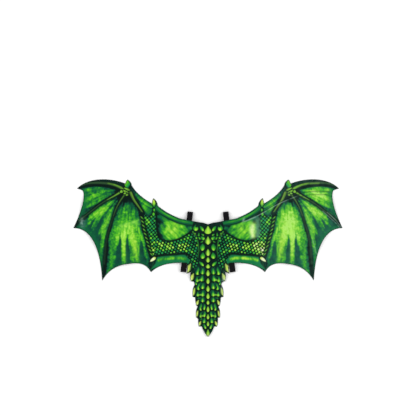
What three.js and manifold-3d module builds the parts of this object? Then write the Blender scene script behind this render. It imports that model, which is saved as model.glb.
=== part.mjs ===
// A child's dragon wings with a tail: one cut of felted, printed cloth that lies face up on the floor, over
// the two elastic arm loops sewn to its back. The cloth drapes over the loops and billows a little elsewhere.
// Millimetres. +X runs across the span, +Y up the back towards the neck and +Z up from the floor. The origin
// is on the floor, under the middle of the outline.
import * as THREE from "three";
import { mergeVertices } from "three/addons/utils/BufferGeometryUtils.js";
import Module from "manifold-3d";

const wasm = await Module();
wasm.setup();

// Cloth
const WING_SPAN = 1054; // between the tips of the second fingers
const WING_DEPTH = 396; // from the top of the wings down to the tips of the third fingers
const HIP_DROP = 327; // from the top of the wings down to the hips, where the tail starts
const TAIL_LENGTH = 290; // from the hips to the tail's tip
const HIP_WIDTH = 133; // across the tail below its first pair of spikes
const CLOTH_THICKNESS = 2;

// Elastic arm loops, pressed flat behind the shoulders
const STRAP_WIDTH = 22;
const STRAP_THICKNESS = 1.5;
const LOOP_LENGTH = 238; // end to end, as it lies
const LOOP_GAP = 6; // between its two runs, where an arm goes through
const LOOP_OUT = 83; // from the centre line to the loop's middle
const LOOP_DROP = 245; // from the top of the wings to the loop's middle
const LOOP_SPLAY_DEG = 6.8; // the loops spread towards their lower ends
const SEAM_GAP = 0.3; // between a loop and the cloth that it is sewn to

// How the cloth lies
const DRAPE_MARGIN = 4; // cloth that stays level beside a loop
const DRAPE_REACH = 56; // from there to where the cloth is down on the floor
const BILLOW_HEIGHT = 6; // of the wing skin between two fingers
const INNER_SKIN_HEIGHT = 5; // of the skin between the shoulder and the forearm
const CENTRE_FOLD_HEIGHT = 4;
const CENTRE_FOLD_REACH = 34;
const LYING_SHARE = 0.15; // of each swell's height, below which the cloth lies flat on the floor

// How finely the shapes are drawn
const OUTLINE_STEP = 9;
const BODY_GRID = 11;
const WING_GRID = 19;
const BODY_GRID_OUT = 150; // the finer grid reaches this far from the centre line
const BEND_SEGMENTS = 10;

const HALF_SPAN = WING_SPAN / 2;
const HALF_HIP = HIP_WIDTH / 2;
const LOOP_HEIGHT = LOOP_GAP + 2 * STRAP_THICKNESS;
const LENGTH = HIP_DROP + TAIL_LENGTH;

// The wing's edge from the neck outwards and back in. out is a share of half the span and down a share of the
// wing's depth. Where a row has a via point, the edge curves towards it on its way from the row before.
const WING_EDGE = [
  { at: "neck", out: 0, down: 0.446 },
  { at: "neck corner", out: 0.03, down: 0.431 },
  { at: "shoulder", out: 0.208, down: 0.387, viaOut: 0.112, viaDown: 0.414 },
  { at: "spur root", out: 0.373, down: 0.262, viaOut: 0.305, viaDown: 0.338 },
  { at: "spur tip", out: 0.406, down: 0.186, viaOut: 0.376, viaDown: 0.217 },
  { at: "spur end", out: 0.415, down: 0.24, viaOut: 0.415, viaDown: 0.215 },
  { at: "claw root", out: 0.567, down: 0.06, viaOut: 0.524, viaDown: 0.16 },
  { at: "claw tip", out: 0.599, down: 0.002, viaOut: 0.57, viaDown: 0.023 },
  { at: "claw end", out: 0.614, down: 0.042, viaOut: 0.61, viaDown: 0.02 },
  { at: "ridge top", out: 0.781, down: 0, viaOut: 0.691, viaDown: 0.001 },
  { at: "first tip", out: 0.973, down: 0.091, viaOut: 0.907, viaDown: 0.003 },
  { at: "first notch", out: 0.931, down: 0.112, viaOut: 0.948, viaDown: 0.099 },
  { at: "second tip", out: 1, down: 0.482, viaOut: 0.9, viaDown: 0.205 },
  { at: "third tip", out: 0.786, down: 1, viaOut: 0.81, viaDown: 0.482 },
  { at: "trailing crest", out: 0.595, down: 0.837, viaOut: 0.721, viaDown: 0.853 },
  { at: "elbow tip", out: 0.424, down: 0.918, viaOut: 0.468, viaDown: 0.803 },
];
const HIP_VIA = { out: 0.342, down: 0.813 }; // pulls the edge between the elbow tip and the hip

// The tail's edge from the hip down. out is a share of half the hip width and down a share of the tail length.
const TAIL_EDGE = [
  { at: "hip", out: 1.265, down: 0 },
  { at: "hip spike tip", out: 1.26, down: 0.146, viaOut: 1.153, viaDown: 0.045 },
  { at: "hip spike root", out: 1, down: 0.12 },
  { at: "row 1 tip", out: 0.994, down: 0.249, viaOut: 1.1, viaDown: 0.186 },
  { at: "row 1 root", out: 0.824, down: 0.254 },
  { at: "row 2 waist", out: 0.788, down: 0.297 },
  { at: "row 2 tip", out: 0.9, down: 0.461, viaOut: 0.953, viaDown: 0.355 },
  { at: "row 2 root", out: 0.753, down: 0.465 },
  { at: "row 3 tip", out: 0.682, down: 0.58, viaOut: 0.759, viaDown: 0.524 },
  { at: "row 3 root", out: 0.641, down: 0.582 },
  { at: "row 4 waist", out: 0.618, down: 0.599 },
  { at: "row 4 tip", out: 0.7, down: 0.739, viaOut: 0.741, viaDown: 0.639 },
  { at: "row 4 root", out: 0.576, down: 0.742 },
  { at: "row 5 tip", out: 0.535, down: 0.861, viaOut: 0.6, viaDown: 0.801 },
  { at: "row 5 root", out: 0.365, down: 0.858 },
  { at: "tail tip", out: 0, down: 1, viaOut: 0.271, viaDown: 0.93 },
];

// Where the finger bones meet, and the edge points that they run to, in order round the wrist.
const WRIST = { out: 0.602, down: 0.126 };
const FINGER_TIPS = ["first tip", "second tip", "third tip", "elbow tip"];
const BILLOW_RISE = 0.42; // share of half the span from the wrist to the full height of a billow

// The skin inside the forearm: the middle of its swell and how far it reaches, as shares like the wing's edge.
const INNER_SKIN = { out: 0.315, down: 0.49, reachOut: 0.13, reachDown: 0.13 };

// Fold marks left by the packet, on one wing. side is 1 on the +X wing and -1 on the other.
const CREASES = [
  { side: 1, out: 0.29, down: 0.425, toOut: 0.585, toDown: 0.205, height: 3.2, reach: 24 },
  { side: 1, out: 0.585, down: 0.205, toOut: 0.9, toDown: 0.135, height: 2.6, reach: 22 },
  { side: -1, out: 0.46, down: 0.4, toOut: 0.72, toDown: 0.55, height: 2.4, reach: 22 },
];

const ease = (x) => THREE.MathUtils.smoothstep(x, 0, 1);

// Garment coordinates: x across and y up from the level of the wings' top.
const onWing = (out, down) => new THREE.Vector2(out * HALF_SPAN, -down * WING_DEPTH);
const onTail = (out, down) => new THREE.Vector2(out * HALF_HIP, -HIP_DROP - down * TAIL_LENGTH);

function placed(rows, place) {
  return rows.map((row) => ({
    at: row.at,
    point: place(row.out, row.down),
    via: row.viaOut === undefined ? null : place(row.viaOut, row.viaDown),
  }));
}

function halfEdge() {
  const tail = placed(TAIL_EDGE, onTail);
  tail[0].via = onWing(HIP_VIA.out, HIP_VIA.down);
  return [...placed(WING_EDGE, onWing), ...tail];
}

// The points of one half's outline, from the neck to the tail's tip.
function halfOutline() {
  const rows = halfEdge();
  const points = [rows[0].point];
  for (let i = 1; i < rows.length; i++) {
    const { point, via } = rows[i];
    const from = rows[i - 1].point;
    if (!via) {
      points.push(point);
      continue;
    }
    const curve = new THREE.QuadraticBezierCurve(from, via, point);
    const pieces = Math.max(2, Math.ceil(curve.getLength() / OUTLINE_STEP));
    points.push(...curve.getSpacedPoints(pieces).slice(1));
  }
  return points;
}

function clothShape() {
  const right = halfOutline();
  const left = right.slice(1, -1).reverse().map((p) => new THREE.Vector2(-p.x, p.y));
  return new THREE.Shape([...right, ...left]);
}

// Distance of (x, y) from the flat rectangle of the loop on one side.
function distanceFromLoop(x, y, side) {
  const along = new THREE.Vector2(x - side * LOOP_OUT, y + LOOP_DROP);
  along.rotateAround(new THREE.Vector2(), -side * THREE.MathUtils.degToRad(LOOP_SPLAY_DEG));
  const across = Math.abs(along.x) - STRAP_WIDTH / 2 - DRAPE_MARGIN;
  const past = Math.abs(along.y) - LOOP_LENGTH / 2;
  return Math.hypot(Math.max(across, 0), Math.max(past, 0));
}

// Share of the full height at which the cloth lies over the loops.
function overLoops(x, y) {
  const near = Math.min(distanceFromLoop(x, y, 1), distanceFromLoop(x, y, -1));
  return 1 - ease(near / DRAPE_REACH);
}

// A swell that keeps a flat foot on the floor round it.
const swell = (height, share) => (height * Math.max(0, share - LYING_SHARE)) / (1 - LYING_SHARE);

const wrist = onWing(WRIST.out, WRIST.down);
const turnFromWrist = (p) => Math.atan2(p.y - wrist.y, p.x - wrist.x);
const fingerTurns = halfEdge()
  .filter((row) => FINGER_TIPS.includes(row.at))
  .map((row) => turnFromWrist(row.point));

// The wing skin is down along the fingers and stands up between them.
function billow(out, y) {
  const p = new THREE.Vector2(out, y);
  const turn = turnFromWrist(p);
  for (let i = 1; i < fingerTurns.length; i++) {
    const share = (turn - fingerTurns[i - 1]) / (fingerTurns[i] - fingerTurns[i - 1]);
    if (share > 0 && share < 1) {
      const between = Math.sin(Math.PI * share) ** 2;
      return swell(BILLOW_HEIGHT, between * ease(p.distanceTo(wrist) / (BILLOW_RISE * HALF_SPAN)));
    }
  }
  return 0;
}

function innerSkin(out, y) {
  const middle = onWing(INNER_SKIN.out, INNER_SKIN.down);
  const across = (out - middle.x) / (INNER_SKIN.reachOut * HALF_SPAN);
  const up = (y - middle.y) / (INNER_SKIN.reachDown * WING_DEPTH);
  return swell(INNER_SKIN_HEIGHT, 1 - ease(Math.hypot(across, up)));
}

const centreFold = (out) => swell(CENTRE_FOLD_HEIGHT, 1 - ease(out / CENTRE_FOLD_REACH));

function creases(x, y) {
  const p = new THREE.Vector3(x, y, 0);
  const nearest = new THREE.Vector3();
  let height = 0;
  for (const fold of CREASES) {
    const from = onWing(fold.out, fold.down);
    const to = onWing(fold.toOut, fold.toDown);
    const line = new THREE.Line3(
      new THREE.Vector3(fold.side * from.x, from.y, 0),
      new THREE.Vector3(fold.side * to.x, to.y, 0),
    );
    line.closestPointToPoint(p, true, nearest);
    height = Math.max(height, swell(fold.height, 1 - p.distanceTo(nearest) / fold.reach));
  }
  return height;
}

// Height of the cloth's underside above the floor.
function lift(x, y) {
  const out = Math.abs(x);
  const draped = overLoops(x, y);
  const swells = Math.max(billow(out, y), innerSkin(out, y), centreFold(out)) + creases(x, y);
  return draped * (LOOP_HEIGHT + SEAM_GAP) + (1 - draped) * swells;
}

function gridLines(stops) {
  const lines = [stops[0].at];
  for (const { at, step } of stops.slice(1)) {
    const from = lines[lines.length - 1];
    const count = Math.ceil((at - from) / step);
    for (let i = 1; i <= count; i++) lines.push(from + ((at - from) * i) / count);
  }
  return lines;
}

// A draped slab of the cloth's thickness over the whole grid, closed round its sides.
function slabGeometry(xs, ys) {
  const positions = [];
  for (const raised of [0, CLOTH_THICKNESS]) {
    for (const y of ys) for (const x of xs) positions.push(x, y, lift(x, y) + raised);
  }
  const layer = xs.length * ys.length;
  const index = [];
  const quad = (a, b, c, d) => index.push(a, b, c, a, c, d);
  for (let j = 1; j < ys.length; j++) {
    for (let i = 1; i < xs.length; i++) {
      const a = (j - 1) * xs.length + i - 1;
      const c = j * xs.length + i;
      quad(a, c - 1, c, a + 1);
      quad(layer + a, layer + a + 1, layer + c, layer + c - 1);
    }
  }
  const wall = (a, b) => quad(a, b, b + layer, a + layer);
  const top = layer - xs.length;
  for (let i = 1; i < xs.length; i++) {
    wall(i - 1, i);
    wall(top + i, top + i - 1);
  }
  for (let j = 1; j < ys.length; j++) {
    wall(j * xs.length, (j - 1) * xs.length);
    wall(j * xs.length - 1, (j + 1) * xs.length - 1);
  }
  const geometry = new THREE.BufferGeometry();
  geometry.setAttribute("position", new THREE.Float32BufferAttribute(positions, 3));
  geometry.setIndex(index);
  return geometry;
}

function solidOf(geometry) {
  const bare = geometry.clone();
  bare.deleteAttribute("normal");
  bare.deleteAttribute("uv");
  const merged = mergeVertices(bare);
  const vertProperties = new Float32Array(merged.attributes.position.array);
  const triVerts = new Uint32Array(merged.index.array);
  return new wasm.Manifold(new wasm.Mesh({ numProp: 3, vertProperties, triVerts }));
}

function geometryOf(solid) {
  const { vertProperties, triVerts } = solid.getMesh();
  const geometry = new THREE.BufferGeometry();
  geometry.setAttribute("position", new THREE.Float32BufferAttribute(vertProperties, 3));
  geometry.setIndex(new THREE.BufferAttribute(triVerts, 1));
  geometry.computeVertexNormals();
  return geometry;
}

// The draped slab, cut to the outline.
function clothGeometry() {
  const margin = WING_GRID;
  const xs = gridLines([
    { at: -HALF_SPAN - margin },
    { at: -BODY_GRID_OUT, step: WING_GRID },
    { at: BODY_GRID_OUT, step: BODY_GRID },
    { at: HALF_SPAN + margin, step: WING_GRID },
  ]);
  const ys = gridLines([{ at: -LENGTH - margin }, { at: margin, step: WING_GRID }]);
  const slab = solidOf(slabGeometry(xs, ys));
  const tallest = LOOP_HEIGHT + SEAM_GAP + CLOTH_THICKNESS + BILLOW_HEIGHT;
  const cutter = new THREE.ExtrudeGeometry(clothShape(), {
    depth: tallest + 2 * margin,
    bevelEnabled: false,
  });
  cutter.translate(0, 0, -margin);
  return geometryOf(slab.intersect(solidOf(cutter)));
}

// A long loop with round ends, drawn in the XY plane with its length along X.
function racetrack(length, height, Path) {
  const radius = height / 2;
  const straight = length / 2 - radius;
  const path = new Path();
  path.moveTo(-straight, -radius);
  path.lineTo(straight, -radius);
  path.absarc(straight, 0, radius, -Math.PI / 2, Math.PI / 2, false);
  path.lineTo(-straight, radius);
  path.absarc(-straight, 0, radius, Math.PI / 2, (3 * Math.PI) / 2, false);
  return path;
}

function loopGeometry() {
  const section = racetrack(LOOP_LENGTH, LOOP_HEIGHT, THREE.Shape);
  section.holes.push(racetrack(LOOP_LENGTH - 2 * STRAP_THICKNESS, LOOP_GAP, THREE.Path));
  const geometry = new THREE.ExtrudeGeometry(section, {
    depth: STRAP_WIDTH,
    bevelEnabled: false,
    curveSegments: BEND_SEGMENTS,
  });
  geometry.translate(0, LOOP_HEIGHT / 2, -STRAP_WIDTH / 2);
  const lengthUpTheBack = new THREE.Vector3(0, 1, 0);
  const heightUp = new THREE.Vector3(0, 0, 1);
  const widthAcross = new THREE.Vector3(1, 0, 0);
  return geometry.applyMatrix4(
    new THREE.Matrix4().makeBasis(lengthUpTheBack, heightUp, widthAcross),
  );
}

function armLoop(name, side) {
  const elastic = new THREE.MeshStandardMaterial({ color: 0x141214, roughness: 0.85, metalness: 0 });
  const mesh = new THREE.Mesh(loopGeometry(), elastic);
  mesh.name = name;
  mesh.position.set(side * LOOP_OUT, -LOOP_DROP, 0);
  mesh.rotation.z = side * THREE.MathUtils.degToRad(LOOP_SPLAY_DEG);
  return mesh;
}

function cloth() {
  const printed = new THREE.MeshStandardMaterial({ color: 0x1f8a34, roughness: 0.55, metalness: 0 });
  const mesh = new THREE.Mesh(clothGeometry(), printed);
  mesh.name = "wing_and_tail_cloth";
  return mesh;
}

const garment = new THREE.Group();
garment.position.y = LENGTH / 2;
garment.add(cloth(), armLoop("left_arm_loop", -1), armLoop("right_arm_loop", 1));

const dragonWings = new THREE.Group();
dragonWings.add(garment);

export default dragonWings;
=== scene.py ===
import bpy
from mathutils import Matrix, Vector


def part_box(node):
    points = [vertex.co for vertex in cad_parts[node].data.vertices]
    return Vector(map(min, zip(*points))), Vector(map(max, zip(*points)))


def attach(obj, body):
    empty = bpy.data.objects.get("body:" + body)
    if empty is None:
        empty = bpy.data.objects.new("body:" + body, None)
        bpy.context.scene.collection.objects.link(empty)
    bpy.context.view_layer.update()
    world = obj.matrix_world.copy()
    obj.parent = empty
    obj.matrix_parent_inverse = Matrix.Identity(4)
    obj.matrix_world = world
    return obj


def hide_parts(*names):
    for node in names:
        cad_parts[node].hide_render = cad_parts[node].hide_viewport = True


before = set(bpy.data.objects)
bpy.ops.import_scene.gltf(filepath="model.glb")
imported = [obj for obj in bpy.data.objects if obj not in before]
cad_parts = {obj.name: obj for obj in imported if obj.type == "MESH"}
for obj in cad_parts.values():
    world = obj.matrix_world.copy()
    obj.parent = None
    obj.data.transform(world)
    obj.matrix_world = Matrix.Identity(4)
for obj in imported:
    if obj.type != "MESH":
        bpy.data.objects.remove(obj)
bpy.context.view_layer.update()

import math
from collections import defaultdict, namedtuple

import bmesh
import bpy
import numpy as np
from bpy.props import FloatProperty, FloatVectorProperty, IntProperty, PointerProperty
from mathutils import Vector
from mathutils.bvhtree import BVHTree
from mathutils.geometry import delaunay_2d_cdt
from mathutils.kdtree import KDTree

bl_info = {
    "name": "Dragon wings with a tail",
    "version": (1, 0, 0),
    "blender": (4, 5, 0),
    "location": "View3D > Sidebar > Dragon wings",
    "description": "Lays out a child's printed felt wings and tail, with elastic arm loops",
    "category": "Object",
}

# Lights as place, aim, width in metres and power in watts.
StudioLight = namedtuple("StudioLight", "place aim width watts")
STUDIO_LIGHTS = [
    StudioLight((3.4, 0.9, 2.6), (0.2, 0, 0), 2.6, 80),
    StudioLight((-3.4, 0.9, 2.6), (-0.2, 0, 0), 2.6, 65),
    StudioLight((0, -3.2, 2.6), (0, 0, 0), 2.6, 33),
]
DAYLIGHT = 0.6
FLOOR_WIDTH = 14
# The picture's width and the drop of its middle below the wings' top, in squares of the print.
FRAME_SQUARES = 416
MIDDLE_DROP = 28.64
LENS_MM = 85
SENSOR_MM = 36

# The print is laid out in squares, counted outwards from the spine and down from the top of the wings. Both
# halves of the cloth take the same print, mirrored, apart from painted sheen, highlights and shade, which lie
# mostly on the right wing's folds and glossy patches, and a pale patch near the left wing's tip.
SQUARES_OUT = 134.5
CLOTH_LOW, CLOTH_HIGH = (Vector(corner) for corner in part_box("wing_and_tail_cloth"))
SQUARE = CLOTH_HIGH.x / SQUARES_OUT

# The inks that a shading runs through, and the value at which each is reached.
Palette = namedtuple("Palette", "inks stops")
SKIN = Palette(
    ["black", "ground", "teal", "deep_green", "green", "leaf_green", "bright_green", "lime", "pale_lime"],
    [0.0, 0.12, 0.22, 0.34, 0.48, 0.6, 0.74, 0.87, 1.0],
)
SCALE = Palette(
    ["ground", "deep_green", "sea_green", "leaf_green", "lime", "pale_lime", "pale"],
    [0.0, 0.17, 0.42, 0.6, 0.8, 0.98, 1.25],
)
PLATE = Palette(
    ["ground", "deep_green", "green", "leaf_green", "lime", "yellow_lime"],
    [0.0, 0.24, 0.43, 0.6, 0.8, 0.97],
)
LOBE = Palette(
    ["ground", "teal", "deep_green", "green", "leaf_green", "lime", "yellow_lime"],
    [0.0, 0.3, 0.47, 0.6, 0.71, 0.82, 0.93],
)
HORN = Palette(["ground", "olive", "lime", "yellow_lime", "pale"], [0.0, 0.34, 0.54, 0.77, 1.1])
TIP = Palette(["deep_green", "olive", "lime", "bone", "pale"], [0.0, 0.25, 0.5, 0.75, 1.0])
NECK_HORN = Palette(["olive", "lime", "yellow_lime", "lime"], [0.0, 0.5, 0.85, 1.1])
SPIKE = Palette(["ground", "olive", "bone", "yellow_lime", "pale"], [0.0, 0.26, 0.5, 0.68, 0.86])
CLAW = Palette(
    ["ground", "sea_green", "leaf_green", "bright_green", "pale_lime"],
    [0.0, 0.2, 0.45, 0.75, 1.1],
)
SPUR = Palette(["deep_green", "green", "lime", "yellow_lime", "pale"], [0.0, 0.22, 0.45, 0.72, 1.0])
KNUCKLE = Palette(["dark_olive", "olive", "lime", "olive", "dark_olive"], [0.0, 0.25, 0.5, 0.75, 1.0])
TUSK = Palette(["yellow_lime", "pale", "pale", "lime"], [0.0, 0.3, 0.7, 1.0])
STRIPE = Palette(["olive", "lime", "leaf_green", "green"], [0.0, 0.3, 0.75, 1.0])
HOLE = Palette(["ground", "ground"], [0.0, 1.0])

# The bones, in squares (out, down).
WRIST = (81, 12.6)
FIRST_FINGER = [(84, 10.6), (93, 7), (103, 4.9), (113, 4.2), (122, 5), (128, 6.9), (131.5, 8.6)]
SECOND_FINGER = [
    (85.7, 11.7), (93.1, 16.2), (100.8, 20.5), (108.5, 25.4), (114.8, 30.3), (121.9, 35.9), (128.9, 41.5),
    (134.4, 48.5),
]
THIRD_FINGER = [
    (84, 16.2), (87.5, 21.2), (91.7, 28.9), (94.5, 36.6), (97.3, 45.7), (100.1, 54.8), (101.9, 64),
    (102.9, 73.8), (103.8, 84.3), (105.2, 100),
]
FOREARM = [(77.3, 13.4), (74.1, 20.4), (69.3, 27.4), (65.6, 32.8)]
FOREARM_EDGE = [
    (77, 13.4), (71, 23.6), (67.8, 33.8), (67, 40), (65.3, 47), (63, 56.3), (61, 64), (59.7, 72.4),
    (57.6, 80), (56.8, 91.5),
]
FINGERS = [FIRST_FINGER, SECOND_FINGER, THIRD_FINGER, FOREARM_EDGE]

# A line of ink along a rounded path, as WingPrint.stroke takes it.
Line = namedtuple("Line", "path width ink soft ends strength", defaults=[(1, 1), 1.0])
BONE_LINES = [
    Line(SECOND_FINGER, 4.4, "black", 2.2, (0.9, 0.8), 0.9),
    Line(THIRD_FINGER, 4.2, "black", 2.4, (0.65, 0.85), 0.8),
    Line(FOREARM, 5.2, "black", 2.2, (0.8, 0.9), 0.9),
    Line(FIRST_FINGER, 6.4, "black", 1.4, (0.95, 0.9), 0.95),
    Line([(87, 8.2), (95, 5.2), (103, 3.8), (113, 3.4), (121, 4.1), (127, 5.8)],
         3.0, "dark_olive", 1.2, (0.9, 0.6)),
    Line([(84.5, 10), (89, 7.4), (94, 5.4), (100, 3.9)], 2.3, "olive", 0.9, (1.0, 0.5)),
    Line([(84.5, 9.6), (89, 7.0), (94, 5.0)], 0.7, "lime", 0.7, (1, 1), 0.4),
    Line(SECOND_FINGER[:-1], 1.1, "dark_olive", 1.0, (1, 0.9)),
    Line(SECOND_FINGER[:3], 1.8, "olive", 0.8, (1.3, 0.3)),
    Line(SECOND_FINGER[:3], 0.7, "lime", 0.6, (1, 0.3), 0.6),
    Line(THIRD_FINGER[:-1], 1.5, "dark_olive", 1.4, (0.7, 1.2), 0.45),
    Line(THIRD_FINGER[:4], 1.0, "olive", 0.8, (1.3, 0.2), 0.8),
    Line(FOREARM, 1.8, "olive", 0.9, (1.6, 0.5), 0.9),
    Line([(out - 0.4, down) for out, down in FOREARM], 0.7, "yellow_lime", 0.8, (1.3, 0.2), 0.35),
]

# A skin is the cloth between two fingers, numbered from the first. share runs across it from finger to
# finger, and reach outwards from the wrist in squares. A light with a negative gain is a shade.
Light = namedtuple("Light", "skin share reach wide long gain")
LIGHTS = [
    Light(0, 0.62, 30, 0.24, 14, 0.1),
    Light(0, 0.2, 37, 0.14, 10, 0.14),
    Light(1, 0.3, 30, 0.18, 12, 0.24),
    Light(1, 0.14, 42, 0.1, 9, 0.18),
    Light(1, 0.78, 37, 0.12, 18, 0.26),
    Light(1, 0.42, 42, 0.07, 9, 0.16),
    Light(1, 0.91, 58, 0.05, 14, 0.34),
    Light(1, 0.5, 60, 0.4, 14, -0.12),
    Light(2, 0.5, 42, 0.4, 9, 0.17),
    Light(2, 0.3, 44, 0.2, 8, 0.14),
    Light(2, 0.13, 56, 0.1, 22, 0.12),
    Light(2, 0.44, 62, 0.06, 18, 0.3),
    Light(2, 0.71, 54, 0.09, 22, 0.26),
    Light(2, 0.93, 50, 0.08, 12, 0.2),
]
WARM_LIGHTS = [
    Light(2, 0.71, 56, 0.07, 13, 0.6),
    Light(2, 0.45, 60, 0.05, 13, 0.3),
    Light(1, 0.82, 38, 0.09, 11, 0.35),
    Light(1, 0.3, 31, 0.12, 7, 0.25),
]
# A dark tongue that widens from its start to its end, both in reach.
Flame = namedtuple("Flame", "skin share to_share start end wide depth")
FLAMES = [
    Flame(1, 0.49, 0.68, 29, 58, 0.13, 0.42),
    Flame(1, 0.3, 0.38, 38, 56, 0.09, 0.38),
    Flame(1, 0.76, 0.79, 44, 62, 0.06, 0.3),
    Flame(1, 0.05, 0.22, 42, 58, 0.12, 0.3),
    Flame(2, 0.35, 0.3, 39, 74, 0.1, 0.54),
    Flame(2, 0.55, 0.51, 37, 74, 0.08, 0.52),
    Flame(2, 0.86, 0.82, 46, 74, 0.1, 0.48),
    Flame(2, 0.03, 0.02, 30, 80, 0.05, 0.3),
    Flame(0, 0.42, 0.44, 18, 52, 0.05, 0.22),
    Flame(0, 0.12, 0.1, 12, 40, 0.05, 0.2),
    Flame(0, 0.9, 0.8, 34, 58, 0.12, 0.3),
]
# The dark beside each finger: its path, how far it reaches in squares, and its depth.
FINGER_SHADOWS = [
    (FIRST_FINGER, 3.4, 0.36),
    (SECOND_FINGER, 2.6, 0.42),
    (THIRD_FINGER, 3.9, 0.42),
    (FOREARM_EDGE, 3.0, 0.5),
]
# One value for each skin, and a last one for places outside them.
SKIN_STREAKS = np.array([7, 9, 12, 1])
SKIN_DARK_REACH = np.array([5, 6, 0, 0])
# How much painted sheen lightens each skin of the right wing near the wrist.
SKIN_RIGHT_SHEEN = np.array([0.4, 0.12, 0.4, 0])
SKIN_EDGE = np.array([6, 6.5, 2.2, 4])
# How light the skins are at each reach.
REACH_TONES = ([0, 9, 14, 20, 30, 44, 60, 90], [0.0, 0.14, 0.32, 0.46, 0.53, 0.53, 0.48, 0.44])

# The other areas of the print, and the lines along them.
LEADING_SKIN = [(76.5, 9.5), (70, 21), (65.5, 29.5), (60, 37.6), (55, 35), (54.6, 24), (62, 18)]
TOP_BAND = [
    (54, 20), (54, 32), (48, 36.5), (40, 42), (30, 46), (16, 48), (13, 38), (36, 33), (50, 20),
]
TOP_BAND_FOLD = [(54, 29.6), (47.6, 34.7), (39, 39.8), (29.6, 43.8), (21, 45.6), (15.6, 46.2)]
INNER_SKIN = [
    (52.0, 32.6), (47.5, 35.4), (39.5, 40.3), (30, 44.2), (22, 46.0), (15.8, 46.8), (16.2, 51.2),
    (21, 54.6), (27, 58.4), (34.3, 60.7), (42.3, 61.1), (48, 59.8), (50.2, 54), (52.2, 47.3),
]
FOREARM_SCALES = [
    (67.4, 32), (62.5, 34.4), (58.6, 38.6), (55.6, 35), (52.6, 34), (51.8, 48), (50.4, 56), (47, 62),
    (46, 77), (56.8, 78), (59.6, 72.4), (61, 64), (63.2, 56), (65.3, 47), (67.2, 40),
]
UPPER_ARM_SCALES = [
    (50.4, 57), (46, 60.8), (38, 62.2), (29, 59.8), (21, 55.4), (15.5, 51.4), (10.5, 55), (10, 62),
    (9.8, 80), (10, 87), (15.6, 91), (18.4, 85), (19, 79.5), (24, 74), (32, 74.6), (44, 75.4), (54, 77),
]
SCALE_HALF_HEIGHT = 1.8
SCALE_FILL = 0.63
ARM_LINES = [
    Line([(54, 77), (44, 75.6), (32, 74.8), (24, 73.8), (19, 76)], 2.4, "black", 1.4, (1, 1), 0.9),
    Line([(51.6, 33), (51.3, 46), (49.8, 55.6), (45.4, 60.4), (38, 61.8), (29, 59.4), (21, 55), (15.5, 50.8)],
         1.7, "black", 1.4, (1, 1), 0.9),
]
FOREARM_STRIPE_GROUND = [
    (65.8, 35), (65.4, 41), (63.7, 47.5), (61.4, 56.6), (59.4, 64.4), (58.1, 72.6), (55.8, 79),
]
STRIPE_COUNT = 10
FIRST_STRIPE, LAST_STRIPE = np.array([65.9, 38.5]), np.array([56.2, 75.2])
LOWER_STRIP = [
    (57, 90), (52.5, 84), (50.5, 77.5), (40, 75.2), (30, 75.0), (17, 76), (17, 84), (34, 84), (46, 86),
]
LOWER_STRIP_GLOW = [(49, 80.8), (43, 79.3), (35.5, 78.6), (27, 78.6), (22.5, 80)]
LOWER_STRIP_LINES = [Line([(56.6, 90), (54.8, 84), (54, 79)], 1.0, "green", 0.8, (1, 1), 0.3)]
BACK = [
    (0, 40), (15, 44), (15, 51), (10.5, 56), (9.6, 80), (10, 86.4), (14.4, 90.6), (18, 92), (18, 102),
    (14, 160), (0, 160), (-2, 60),
]
SHOULDER_LINE = [(15.2, 52.7), (12.4, 56.4)]
BACK_LINE = [(10.5, 60.6), (9.5, 66.3), (9, 71), (10.2, 78)]
# Where the mesh of the face is fine: the scales, the middle, and within a distance of these paths.
FINE_AREAS = [FOREARM_SCALES, UPPER_ARM_SCALES]
FINE_MIDDLE = 22
FINE_PATHS = [
    (FIRST_FINGER, 5),
    (SECOND_FINGER, 4.5),
    (THIRD_FINGER, 4.5),
    (FOREARM_EDGE, 5),
    ([(54, 18), (54, 38)], 5),
]

# Horns, plates and claws, each drawn from its root to its tip, and widest at a share of its length.
Mark = namedtuple("Mark", "root_out root_down tip_out tip_down half widest")
THUMB_CLAW = [Mark(80.1, 9.0, 80.9, 0.2, 2.7, 0.4)]
ELBOW_SPURS = [Mark(53.8, 28.4, 54.5, 19.3, 1.5, 0.5)]
ELBOW_KNOTS = [
    Mark(53.7, 32.6, 53.8, 28.8, 1.0, 0.5),
    Mark(54.4, 37.2, 54.4, 32.8, 1.3, 0.5),
]
KNUCKLES = [
    Mark(84.6, 8.2, 77.4, 11.4, 0.9, 0.5),
    Mark(86.2, 10.4, 78.6, 14.0, 0.9, 0.4),
    Mark(88.0, 13.2, 85.0, 11.2, 1.3, 0.5),
    Mark(84.6, 14.6, 81.4, 13.4, 0.9, 0.5),
    Mark(82.6, 16.0, 79.4, 15.0, 0.8, 0.5),
]
ELBOW_TUSK = [Mark(52.4, 78.0, 58.9, 83.0, 1.4, 0.32)]
SPINES = [
    Mark(0, 56.0, 0, 65.2, 3.4, 0.62),
    Mark(0, 68.6, 0, 76.8, 2.6, 0.58),
    Mark(0, 77.2, 0, 83.2, 2.4, 0.55),
    Mark(0, 84.0, 0, 89.1, 2.5, 0.6),
    Mark(0, 90.0, 0, 96.8, 2.4, 0.55),
    Mark(0, 98.0, 0, 104.6, 2.2, 0.55),
    Mark(0, 105.2, 0, 112.4, 2.2, 0.58),
    Mark(0, 112.8, 0, 119.6, 2.1, 0.58),
    Mark(0, 120.3, 0, 125.3, 1.8, 0.55),
    Mark(0, 126.0, 0, 132.8, 1.8, 0.58),
    Mark(0, 133.8, 0, 140.0, 1.7, 0.55),
    Mark(0, 141.2, 0, 146.8, 1.6, 0.55),
]
NECK_SPINE = [Mark(0, 45.2, 0, 54.6, 3.5, 0.75)]
TAIL_TIP = [Mark(0, 148.6, 0, 158.2, 2.4, 0.64)]
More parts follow.
